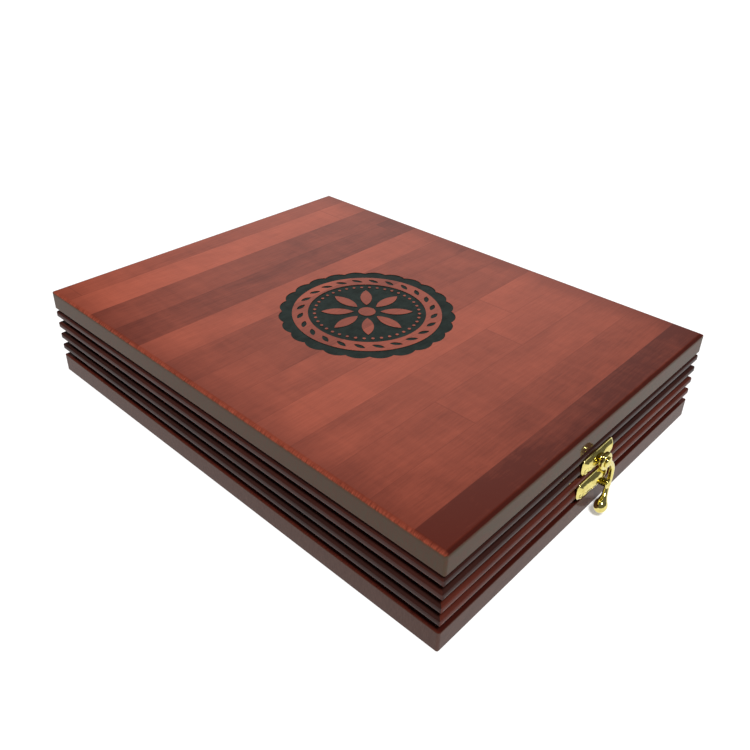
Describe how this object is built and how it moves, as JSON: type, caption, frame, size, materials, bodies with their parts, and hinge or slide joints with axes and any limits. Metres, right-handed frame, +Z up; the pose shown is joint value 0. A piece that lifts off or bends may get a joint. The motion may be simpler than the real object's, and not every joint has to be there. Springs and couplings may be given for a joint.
{
  "type": "hinged presentation case",
  "caption": "Flat rectangular wooden presentation case with grooved sides, a hinged lid carrying an engraved medallion, a lined interior and a brass swing-hook latch.",
  "frame": {"origin": "centre of the underside, on the surface that the case rests on", "axes": "+Z up, +Y from the latch side to the hinge side, +X to the right when the latch side is seen from in front"},
  "size_m": [0.254, 0.3449, 0.061],
  "materials": {
    "lid_board": "semi-gloss lacquer over edge-glued staves, red mahogany stain",
    "lacquered_wood": "semi-gloss lacquer, dark red mahogany stain",
    "polished_brass": "polished brass plate",
    "hinge_brass": "satin brass",
    "lining_velvet": "short-pile black velvet"
  },
  "bodies": {
    "base": {"base_panel": "lacquered_wood", "base_rail_front": "lacquered_wood", "base_rail_right": "lacquered_wood", "base_rail_back": "lacquered_wood", "base_rail_left": "lacquered_wood", "base_pad": "lining_velvet", "base_lining_front": "lining_velvet", "base_lining_right": "lining_velvet", "base_lining_back": "lining_velvet", "base_lining_left": "lining_velvet", "latch_lower_plate": "polished_brass", "latch_catch": "polished_brass", "latch_lower_screws": "polished_brass", "hinge_left_base_leaf": "hinge_brass", "hinge_right_base_leaf": "hinge_brass", "hinge_left_pin": "hinge_brass", "hinge_right_pin": "hinge_brass", "hinge_base_screws": "hinge_brass"},
    "lid": {"lid_panel": "lid_board", "lid_rail_front": "lacquered_wood", "lid_rail_right": "lacquered_wood", "lid_rail_back": "lacquered_wood", "lid_rail_left": "lacquered_wood", "lid_pad": "lining_velvet", "lid_lining_front": "lining_velvet", "lid_lining_right": "lining_velvet", "lid_lining_back": "lining_velvet", "lid_lining_left": "lining_velvet", "latch_upper_plate": "polished_brass", "latch_pivot": "polished_brass", "latch_upper_screws": "polished_brass", "hinge_left_lid_leaf": "hinge_brass", "hinge_right_lid_leaf": "hinge_brass", "hinge_lid_screws": "hinge_brass"},
    "hook": {"latch_hook": "polished_brass"}
  },
  "joints": [
    {"name": "lid_hinge", "type": "hinge", "parent": "base", "child": "lid", "pos_m": [0, 0.1665, 0.031], "axis": [-1, 0, 0], "range_deg": [0, 100]},
    {"name": "hook_swing", "type": "hinge", "parent": "lid", "child": "hook", "pos_m": [0.0025, -0.1704, 0.0376], "axis": [0, -1, 0], "range_deg": [0, 120]}
  ]
}
